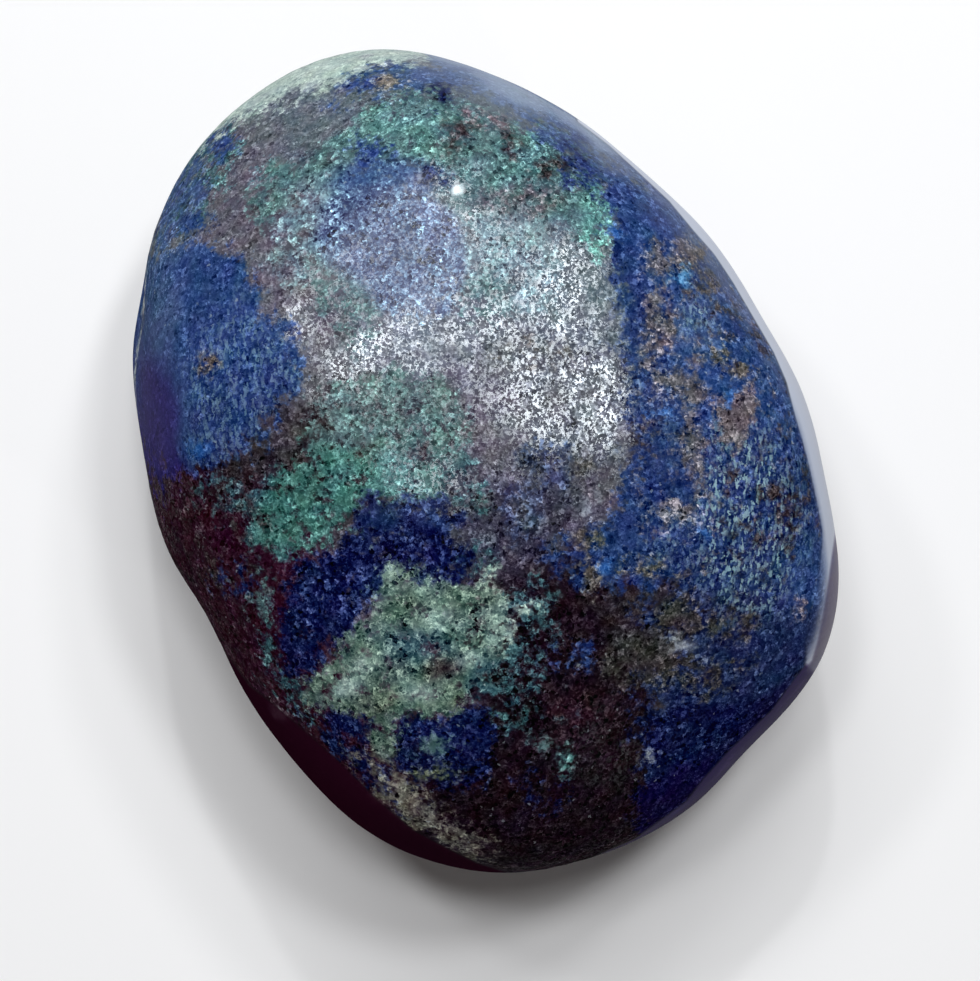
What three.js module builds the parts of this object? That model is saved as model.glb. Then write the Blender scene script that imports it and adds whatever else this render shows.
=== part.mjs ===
// Azurite with shattuckite: one tumbled stone, polished all over, lying on its back face.
// Millimetres, +Z up. The front face looks up, and the stone's long way runs along Y.
//
// The stone is worn from one lump, so it is one closed solid. Its form is worked out as a
// radius in every direction from the middle: a dome in front, a flatter dome behind, a steep
// side that follows the outline, and worn flats that meet them in rounded edges. Shallow
// hollows, chips and a slight unevenness are then taken out of that radius.

import * as THREE from 'three';
import { mergeVertices } from 'three/addons/utils/BufferGeometryUtils.js';

// Driving heights, from the girdle, which is the level where the stone is widest
const FRONT_HEIGHT = 8.6; // up to the top of the front dome
const BACK_HEIGHT = 8.0; // down to where the back dome would end
const REST_DEPTH = 7.7; // down to the flat that the stone lies on

// How far the girdle climbs for each millimetre along X and along Y
const GIRDLE_CLIMB_X = 0.035;
const GIRDLE_CLIMB_Y = -0.03;

// Mesh fineness: the icosahedron's 20 faces are each cut into (FINENESS + 1) squared triangles
const FINENESS = 16;

// The outline seen from the front, clockwise from the top, as X and Y
const OUTLINE = [
  [-3.7, 14.95], [-0.75, 14.45], // top, up to a slight corner
  [3.4, 12.4], [7.6, 8.75], [10.5, 4.1], // long flat slope on the right
  [12.0, 0.1], [12.5, -3.55], [12.1, -6.75], // right side
  [11.0, -8.55], [9.25, -10.45], [7.55, -12.2], // worn lower right corner
  [4.1, -13.95], [0.55, -14.65], [-2.35, -14.0], // bottom
  [-5.05, -12.45], [-7.05, -10.4], // lower left
  [-9.3, -6.8], [-11.3, -3.25], [-12.4, 0.6], // long flat slope on the left
  [-12.95, 4.9], [-12.0, 8.8], // left side
  [-10.0, 12.3], [-7.2, 14.3], // upper left corner
];
const OUTLINE_SAMPLES = 900;

// How the domes turn into the side, in order of azimuth from +X towards +Y. Reach is how much
// wider than the outline a dome would be without the side. Crispness is how tight the edge is.
const EDGES = [
  { azimuth: 0, frontReach: 1.34, frontCrispness: 12, backReach: 1.16, backCrispness: 4.5 },
  { azimuth: 60, frontReach: 1.26, frontCrispness: 7, backReach: 1.2, backCrispness: 4.5 },
  { azimuth: 115, frontReach: 1.16, frontCrispness: 4.5, backReach: 1.24, backCrispness: 5 },
  { azimuth: 180, frontReach: 1.22, frontCrispness: 6, backReach: 1.22, backCrispness: 5.5 },
  { azimuth: 235, frontReach: 1.24, frontCrispness: 7, backReach: 1.16, backCrispness: 4.5 },
  { azimuth: 290, frontReach: 1.28, frontCrispness: 7, backReach: 1.2, backCrispness: 5 },
  { azimuth: 320, frontReach: 1.36, frontCrispness: 14, backReach: 1.18, backCrispness: 4.5 },
];

// Worn flats: the way each one faces, and its distance from the middle
const FLATS = [
  { name: 'front face', azimuth: 100, elevation: 84, distance: 8.35 },
  { name: 'front slope, upper left', azimuth: 128, elevation: 50, distance: 12.2 },
  { name: 'front slope, lower right', azimuth: 318, elevation: 56, distance: 10.4 },
  { name: 'bevel, right', azimuth: 12, elevation: 30, distance: 13.4 },
  { name: 'bevel, upper right', azimuth: 47, elevation: 26, distance: 12.6 },
  { name: 'bevel, lower right', azimuth: 315, elevation: 24, distance: 14.9 },
  { name: 'bevel, lower left', azimuth: 222, elevation: 40, distance: 12.5 },
  { name: 'bevel, left', azimuth: 176, elevation: 28, distance: 13.6 },
  { name: 'back slope, right', azimuth: 350, elevation: -42, distance: 11.3 },
  { name: 'back slope, upper left', azimuth: 140, elevation: -38, distance: 13.2 },
  { name: 'back slope, bottom', azimuth: 262, elevation: -40, distance: 12.9 },
  { name: 'back slope, top', azimuth: 70, elevation: -46, distance: 11.7 },
];
const FLAT_CRISPNESS = 16;

// Hollows and chips: the direction of each, its radius across the surface and its depth
const HOLLOWS = [
  { name: 'hollow on the lower front', azimuth: 285, elevation: 62, radius: 3.4, depth: 0.28 },
  { name: 'hollow on the left front', azimuth: 196, elevation: 50, radius: 2.6, depth: 0.22 },
  { name: 'hollow on the right front', azimuth: 30, elevation: 52, radius: 2.8, depth: 0.2 },
  { name: 'chip on the left rim', azimuth: 157, elevation: 8, radius: 1.7, depth: 0.4 },
  { name: 'chip under the left rim', azimuth: 171, elevation: -6, radius: 1.4, depth: 0.4 },
  { name: 'chip on the lower left rim', azimuth: 208, elevation: 4, radius: 1.5, depth: 0.25 },
  { name: 'nick on the lower right edge', azimuth: 306, elevation: 30, radius: 1.1, depth: 0.3 },
  { name: 'hollow on the right side', azimuth: 12, elevation: -16, radius: 2.6, depth: 0.35 },
  { name: 'chip on the right side', azimuth: 338, elevation: -28, radius: 1.3, depth: 0.45 },
  { name: 'hollow on the bottom end', azimuth: 276, elevation: -20, radius: 2.4, depth: 0.35 },
  { name: 'chip under the top end', azimuth: 96, elevation: -22, radius: 1.7, depth: 0.5 },
  { name: 'hollow on the left back', azimuth: 200, elevation: -48, radius: 2.8, depth: 0.35 },
  { name: 'pit on the right back', azimuth: 20, elevation: -52, radius: 1.2, depth: 0.4 },
  { name: 'pit on the upper back', azimuth: 118, elevation: -50, radius: 1.3, depth: 0.35 },
];

// Slight unevenness left by the tumbling: a wave across the stone along each of these ways
const WAVES = [
  { azimuth: 35, elevation: 15, length: 8.2, height: 0.05, phase: 0.4 },
  { azimuth: 118, elevation: -20, length: 6.1, height: 0.045, phase: 2.1 },
  { azimuth: 80, elevation: 50, length: 4.7, height: 0.03, phase: 4.4 },
];

// The stone's mean colour and polish
const STONE_COLOUR = 0x33455f;
const STONE_ROUGHNESS = 0.35;

// The unit vector along an azimuth and elevation given in degrees
function direction({ azimuth, elevation }) {
  const polar = THREE.MathUtils.degToRad(90 - elevation);
  const around = THREE.MathUtils.degToRad(azimuth);
  return new THREE.Vector3(
    Math.sin(polar) * Math.cos(around),
    Math.sin(polar) * Math.sin(around),
    Math.cos(polar),
  );
}

// The azimuth of a place on the girdle, from 0 to 360 degrees
function azimuthOf(x, y) {
  return (THREE.MathUtils.radToDeg(Math.atan2(y, x)) + 360) % 360;
}

// Blends the two stations on either side of an azimuth. Stations stand in order round a full turn.
function blendRound(stations, azimuth, blend) {
  const after = stations.findIndex((station) => station.azimuth > azimuth);
  const next = stations[after < 0 ? 0 : after];
  const last = stations.at(after < 0 ? -1 : after - 1);
  const gap = (next.azimuth - last.azimuth + 360) % 360;
  const share = ((azimuth - last.azimuth + 360) % 360) / gap;
  return blend(last, next, share);
}

// The outline as places in order of azimuth, each with its distance from the middle
function outlineStations() {
  const corners = OUTLINE.map(([x, y]) => new THREE.Vector3(x, y, 0));
  const curve = new THREE.CatmullRomCurve3(corners, true, 'centripetal');
  const places = curve.getPoints(OUTLINE_SAMPLES).slice(1);
  const stations = places.map(({ x, y }) => ({ azimuth: azimuthOf(x, y), reach: Math.hypot(x, y) }));
  return stations.sort((a, b) => a.azimuth - b.azimuth);
}

const STATIONS = outlineStations();

function outlineReach(azimuth) {
  return blendRound(STATIONS, azimuth, (last, next, share) => (
    THREE.MathUtils.lerp(last.reach, next.reach, share)
  ));
}

// One of the edge values at an azimuth
function edgeValue(azimuth, key) {
  return blendRound(EDGES, azimuth, (last, next, share) => (
    THREE.MathUtils.lerp(last[key], next[key], THREE.MathUtils.smoothstep(share, 0, 1))
  ));
}

// How far out a point is, as a share of the way to the domes and the side: 1 is on the surface
function pebbleShare(point) {
  const azimuth = azimuthOf(point.x, point.y);
  const side = point.z >= 0 ? 'front' : 'back';
  const height = point.z >= 0 ? FRONT_HEIGHT : BACK_HEIGHT;
  const reach = edgeValue(azimuth, `${side}Reach`);
  const crispness = edgeValue(azimuth, `${side}Crispness`);
  const across = Math.hypot(point.x, point.y) / outlineReach(azimuth);
  const along = point.z / height;
  const dome = Math.hypot(across / reach, along);
  const both = (dome ** crispness + across ** crispness) ** (1 / crispness);
  // The rounding would draw the girdle in, so the share is set to keep the outline's size there
  const atGirdle = (reach ** -crispness + 1) ** (1 / crispness);
  return both / THREE.MathUtils.lerp(1, atGirdle, across / Math.hypot(across, along));
}

// The same share with the worn flats added
function wornShare(point) {
  let sum = pebbleShare(point) ** FLAT_CRISPNESS;
  for (const flat of FLATS) {
    const share = Math.max(0, direction(flat).dot(point) / flat.distance);
    sum += share ** FLAT_CRISPNESS;
  }
  return sum ** (1 / FLAT_CRISPNESS);
}

// How deep the hollows, chips and waves go at a point of the surface
function wearDepth(point) {
  let depth = 0;
  for (const hollow of HOLLOWS) {
    const towards = direction(hollow);
    const centre = towards.clone().divideScalar(wornShare(towards));
    const apart = centre.distanceTo(point) / hollow.radius;
    depth += hollow.depth * Math.exp(-apart * apart);
  }
  for (const wave of WAVES) {
    const turns = direction(wave).dot(point) / wave.length;
    depth += wave.height * Math.sin(2 * Math.PI * turns + wave.phase);
  }
  return depth;
}

// Moves a point on the unit ball to where the stone's surface is in that direction
function toSurface(point) {
  point.normalize();
  point.divideScalar(wornShare(point));
  point.setLength(point.length() - wearDepth(point));
  const nearGirdle = Math.max(0, 1 - Math.abs(point.z) / FRONT_HEIGHT);
  point.z += (GIRDLE_CLIMB_X * point.x + GIRDLE_CLIMB_Y * point.y) * nearGirdle;
  point.z = Math.max(point.z, -REST_DEPTH);
}

// Puts the origin under the middle of the stone, on the surface that it lies on
function standOnOrigin(geometry) {
  geometry.computeBoundingBox();
  const { min, max } = geometry.boundingBox;
  geometry.translate(-(min.x + max.x) / 2, -(min.y + max.y) / 2, -min.z);
}

function stoneGeometry() {
  const ball = new THREE.IcosahedronGeometry(1, FINENESS);
  ball.deleteAttribute('normal');
  ball.deleteAttribute('uv');
  const geometry = mergeVertices(ball);
  const position = geometry.getAttribute('position');
  const point = new THREE.Vector3();
  for (let i = 0; i < position.count; i += 1) {
    point.fromBufferAttribute(position, i);
    toSurface(point);
    position.setXYZ(i, point.x, point.y, point.z);
  }
  standOnOrigin(geometry);
  geometry.computeVertexNormals();
  return geometry;
}

function tumbledStone() {
  const material = new THREE.MeshStandardMaterial({
    color: STONE_COLOUR,
    roughness: STONE_ROUGHNESS,
    metalness: 0,
  });
  const mesh = new THREE.Mesh(stoneGeometry(), material);
  mesh.name = 'tumbled_stone';
  return mesh;
}

const stone = new THREE.Group();
stone.add(tumbledStone());

export default stone;
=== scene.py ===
"""A tumbled stone of azurite with shattuckite, on a pale studio floor.

Lengths are in metres unless a name or a comment says millimetres.
"""

import math

import bpy
import numpy as np
from bpy.props import FloatProperty, FloatVectorProperty, IntProperty, PointerProperty
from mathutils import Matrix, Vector, noise
from mathutils.bvhtree import BVHTree


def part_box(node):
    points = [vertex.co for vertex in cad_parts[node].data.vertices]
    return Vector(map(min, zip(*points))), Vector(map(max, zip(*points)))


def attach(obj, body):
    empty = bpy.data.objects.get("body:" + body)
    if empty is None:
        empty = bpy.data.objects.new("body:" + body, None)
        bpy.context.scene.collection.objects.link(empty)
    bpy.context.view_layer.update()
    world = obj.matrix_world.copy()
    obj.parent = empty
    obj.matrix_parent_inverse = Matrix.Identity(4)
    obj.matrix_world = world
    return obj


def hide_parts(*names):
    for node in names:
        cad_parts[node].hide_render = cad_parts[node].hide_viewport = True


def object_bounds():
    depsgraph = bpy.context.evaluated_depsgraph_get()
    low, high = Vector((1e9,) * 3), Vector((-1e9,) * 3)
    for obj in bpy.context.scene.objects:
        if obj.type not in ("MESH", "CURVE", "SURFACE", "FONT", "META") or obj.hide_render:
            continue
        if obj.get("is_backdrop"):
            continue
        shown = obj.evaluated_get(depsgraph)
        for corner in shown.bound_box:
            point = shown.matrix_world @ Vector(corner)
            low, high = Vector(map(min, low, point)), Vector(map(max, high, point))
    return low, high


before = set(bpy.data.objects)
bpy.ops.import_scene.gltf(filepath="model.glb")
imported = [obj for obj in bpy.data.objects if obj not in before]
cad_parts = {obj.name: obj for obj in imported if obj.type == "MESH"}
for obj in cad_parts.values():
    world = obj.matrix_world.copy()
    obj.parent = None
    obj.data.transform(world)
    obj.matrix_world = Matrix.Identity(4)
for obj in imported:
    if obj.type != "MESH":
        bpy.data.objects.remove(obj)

bl_info = {
    "name": "Tumbled azurite stone",
    "version": (1, 0, 0),
    "blender": (4, 5, 0),
    "location": "3D View > Sidebar > Stone",
    "description": "Models and dresses a tumbled stone of azurite with shattuckite",
    "category": "Add Mesh",
}

MM = 0.001
NODE = "tumbled_stone"
STONE_LOW, STONE_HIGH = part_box(NODE)
CAD_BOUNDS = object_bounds()
CAD_BOUNDS = (tuple(CAD_BOUNDS[0]), tuple(CAD_BOUNDS[1]))

# The level where the stone is widest, above the floor
GIRDLE_MM = 7.7

# The picture's height in pixels, what one of them measures at the girdle, and the camera's sensor
PICTURE_HEIGHT = 981
PIXEL_MM = 0.036
SENSOR_MM = 36.0

# Where the front's measures are taken from, and where the middle of the picture is from there
FRONT_MIDDLE_MM = (0.15, -0.15)
PICTURE_MIDDLE_MM = (0.16, -1.0)

# The curve between the floor and its wall, and its steps
COVE = 0.12
COVE_STEPS = 10


def screen(red, green, blue, grain=1.0):
    """A colour as a screen shows it, given as 0 to 255, and how strong its grain is.

    The material makes it linear at its end.
    """
    return (red / 255, green / 255, blue / 255, grain)


# The lift and the power of the screen's scale
SCREEN_LIFT = 0.055
SCREEN_GAMMA = 2.4

# Minerals' colours, by plain names
COLOURS = {
    # ground: the dark matrix that holds the stone together
    "taupe": screen(86, 82, 92, 0.85),
    # plum is the dark matrix, and on the lower left also painted shade with a reddish reflection
    "plum": screen(41, 9, 26, 0.6),
    "umber": screen(36, 29, 32, 0.8),
    "soot": screen(20, 7, 16, 0.6),
    "rust brown": screen(32, 14, 24, 0.6),
    "slate grey": screen(84, 93, 102, 0.8),
    "dusk": screen(50, 49, 64, 1.1),
    # azurite
    "midnight": screen(8, 15, 56, 1.0),
    "night": screen(34, 56, 85, 1.7),
    "royal": screen(39, 60, 107, 0.85),
    "ink": screen(29, 46, 91, 0.9),
    "violet": screen(31, 21, 90, 0.7),
    "steel blue": screen(60, 80, 118, 0.9),
    # painted sheen: a lighter, greyer blue for the azurite near the upper right rim
    "haze blue": screen(72, 88, 124, 0.8),
    # lavender is lighter and greyer than the azurite: partly its own colour, partly painted sheen of the
    # softbox
    "lavender": screen(72, 83, 116, 1.7),
    # painted sheen: a pale grey-blue for the polish mirroring the light along the top rim
    "mist sheen": screen(122, 136, 158, 0.4),
    # painted shade with a dark reflection, for the band below the lower right ridge
    "dark violet reflection": screen(36, 12, 74, 0.6),
    # shattuckite and chrysocolla greens
    "teal": screen(73, 99, 101, 0.9),
    "deep teal": screen(44, 72, 80),
    "sea green": screen(56, 96, 90),
    "bright teal": screen(93, 144, 137, 1.4),
    "muted green": screen(77, 97, 98, 0.9),
    "sage": screen(104, 120, 130),
    # pale green crust
    "pale green": screen(72, 92, 85),
    "celadon": screen(138, 158, 148, 0.9),
    "crescent": screen(162, 176, 169, 0.7),
    "moss": screen(93, 98, 71),
    "olive tan": screen(103, 98, 90),
    # tan and rust grains
    "tan": screen(82, 77, 85, 1.1),
    "rust": screen(88, 77, 83),
    "ochre": screen(72, 66, 62),
    # single spots
    "azure": screen(44, 84, 146),
    "light azure": screen(76, 124, 168),
    # pale chips, and also painted glints on the rim and the lower right
    "chalk": screen(168, 172, 170),
    "pebble": screen(146, 148, 156),
    "mauve grey": screen(103, 106, 118),
    # painted reflection: the light strip along the right rim stands for the pale surroundings mirrored at a
    # grazing look
    "painted_bevel": screen(186, 190, 204, 0.5),
    # a painted dark reflection on the lower part of the right rim
    "grey violet reflection": screen(92, 80, 112, 0.5),
    "violet night": screen(14, 8, 52, 0.7),
    "slate blue": screen(52, 59, 84, 1.2),
    "dark ink": screen(26, 37, 75, 0.9),
    "flecked grey": screen(74, 75, 86, 1.4),
    "olive brown": screen(48, 45, 45, 0.9),
    # fine marks in the material
    "fibre": screen(138, 164, 172),
    "speck": screen(170, 178, 178),
    "fresh break": screen(120, 118, 120),
}

# Layers of minerals, from the bottom up, over the ground
LAYERS = ("shattuckite", "azurite", "pale", "tan", "spot")

# The main mineral areas of the front, as the camera sees them: layer, colour, how firmly it
# covers, and its corners from the stone's middle (right, up) in millimetres
FRONT_AREAS = {
    "pale crescent": ("pale", "crescent", 0.9, [
        (-10.6, 12.6), (-9.2, 13.6), (-7.6, 14.6), (-6.4, 15.4), (-4.4, 15.8), (-2.4, 15.6), (-2.3, 14.4),
        (-4.1, 14.05), (-4.8, 13.7), (-5.5, 13.4), (-6.9, 13.2), (-7.9, 12.6), (-9.3, 12.0), (-10.2, 11.4),
        (-11.4, 10.6),
    ]),
    # painted sheen along the top rim, over the blue azurite
    "top rim sheen": ("azurite", "mist sheen", 0.9, [
        (-2.3, 14.45), (-1.3, 13.9), (0.5, 13.1), (2.7, 12.0), (4.8, 10.6), (6.2, 9.6), (7.2, 9.2),
        (8.0, 9.6), (6.0, 12.6), (2.5, 15.0), (-2.2, 16.2),
    ]),
    "left azurite": ("azurite", "royal", 0.9, [
        (-12.4, 7.2), (-11.5, 7.9), (-10.3, 8.1), (-8.8, 7.2), (-8.2, 6.2), (-8.0, 5.2), (-7.3, 5.1),
        (-6.8, 4.2), (-6.8, 2.9), (-7.2, 2.4), (-7.8, 1.7), (-8.2, 0.8), (-9.6, 0.0), (-10.4, -0.6),
        (-11.3, -0.3), (-12.1, 0.4), (-13.8, 1.0), (-13.8, 6.6),
    ]),
    # the lavender oval is partly painted sheen over the deep blue
    "lavender oval": ("shattuckite", "lavender", 0.9, [
        (-5.6, 10.2), (-4.1, 10.7), (-2.4, 10.2), (-1.1, 9.3), (-0.6, 7.6), (-0.7, 6.2), (-1.6, 5.4),
        (-3.1, 5.2), (-4.9, 5.9), (-6.0, 6.8), (-6.7, 8.0), (-6.4, 9.3),
    ]),
    "teal top": ("shattuckite", "teal", 0.35, [
        (-5.1, 12.0), (-4.2, 12.8), (-2.4, 13.2), (-0.6, 12.9), (1.2, 12.3), (2.7, 11.6), (3.8, 10.2),
        (4.3, 8.9), (4.0, 7.6), (2.7, 8.2), (1.2, 8.5), (-0.2, 8.0), (-1.3, 8.9), (-2.4, 10.0),
        (-4.2, 10.7), (-5.6, 10.0), (-7.2, 9.4), (-8.0, 8.0), (-8.5, 9.4), (-7.8, 10.7), (-6.7, 11.1),
    ]),
    "green middle": ("shattuckite", "muted green", 0.3, [
        (-6.2, 2.2), (-5.0, 3.0), (-3.8, 3.5), (-2.0, 3.2), (-1.0, 2.3), (-0.3, 1.6), (-1.0, 0.7),
        (-0.5, 0.0), (-1.1, -0.9), (-1.6, -1.5), (-3.1, -1.3), (-4.5, -1.3), (-5.6, -2.8), (-7.0, -3.3),
        (-8.5, -2.8), (-8.7, -1.5), (-8.0, -0.5), (-6.7, 0.0), (-6.3, 1.2),
    ]),
    "navy middle": ("azurite", "night", 0.3, [
        (-4.4, -1.1), (-3.1, -1.5), (-1.7, -1.3), (-0.9, -2.0), (-1.3, -2.7), (-0.5, -3.4), (-1.2, -4.5),
        (-3.1, -4.2), (-4.0, -4.9), (-4.9, -6.3), (-5.9, -7.4), (-7.0, -7.6), (-7.4, -6.4), (-7.2, -4.6),
        (-6.7, -3.5), (-5.5, -3.4), (-4.7, -2.6),
    ]),
    "pale crust": ("pale", "pale green", 0.3, [
        (-3.9, -3.9), (-3.5, -3.5), (-2.4, -4.1), (-1.5, -4.4), (0.2, -4.3), (1.0, -5.0), (0.8, -6.4),
        (0.3, -7.8), (-0.6, -8.2), (-1.1, -9.0), (-1.6, -9.3), (-2.4, -9.0), (-3.1, -9.2), (-3.2, -11.1),
        (-4.1, -10.9), (-4.0, -9.2), (-5.1, -9.0), (-6.4, -9.0), (-6.5, -8.0), (-5.6, -7.5), (-5.0, -6.4),
        (-4.1, -5.7),
    ]),
    "navy bottom": ("azurite", "midnight", 0.3, [
        (-3.3, -9.2), (-2.4, -9.1), (-1.6, -9.4), (-1.0, -9.0), (0.0, -9.0), (0.2, -10.2), (-0.2, -11.6),
        (-1.4, -12.0), (-2.6, -11.4), (-3.4, -10.8),
    ]),
    "right azurite": ("azurite", "royal", 0.95, [
        (4.1, 10.9), (5.6, 10.2), (7.4, 8.7), (9.0, 6.2), (10.6, 3.7), (11.5, 1.5), (12.1, -0.6),
        (12.4, -3.5), (12.1, -6.4), (11.3, -8.2), (9.9, -9.8), (9.4, -8.6), (7.4, -7.4), (8.4, -6.6),
        (7.7, -4.9), (6.3, -4.2), (4.8, -4.6), (3.6, -4.6), (3.2, -3.5), (3.8, -2.4), (5.0, -2.0),
        (5.1, 0.8), (5.1, 3.7), (4.9, 5.8), (4.5, 7.6), (4.1, 9.4),
    ]),
    "navy lower right": ("azurite", "violet night", 0.7, [
        (6.1, -7.7), (8.0, -8.0), (10.0, -7.9), (12.6, -7.0), (12.4, -9.0), (11.0, -11.0), (8.6, -13.2),
        (5.6, -13.6), (5.4, -12.0), (5.7, -10.4), (5.6, -9.4), (6.3, -8.6),
    ]),
}

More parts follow.
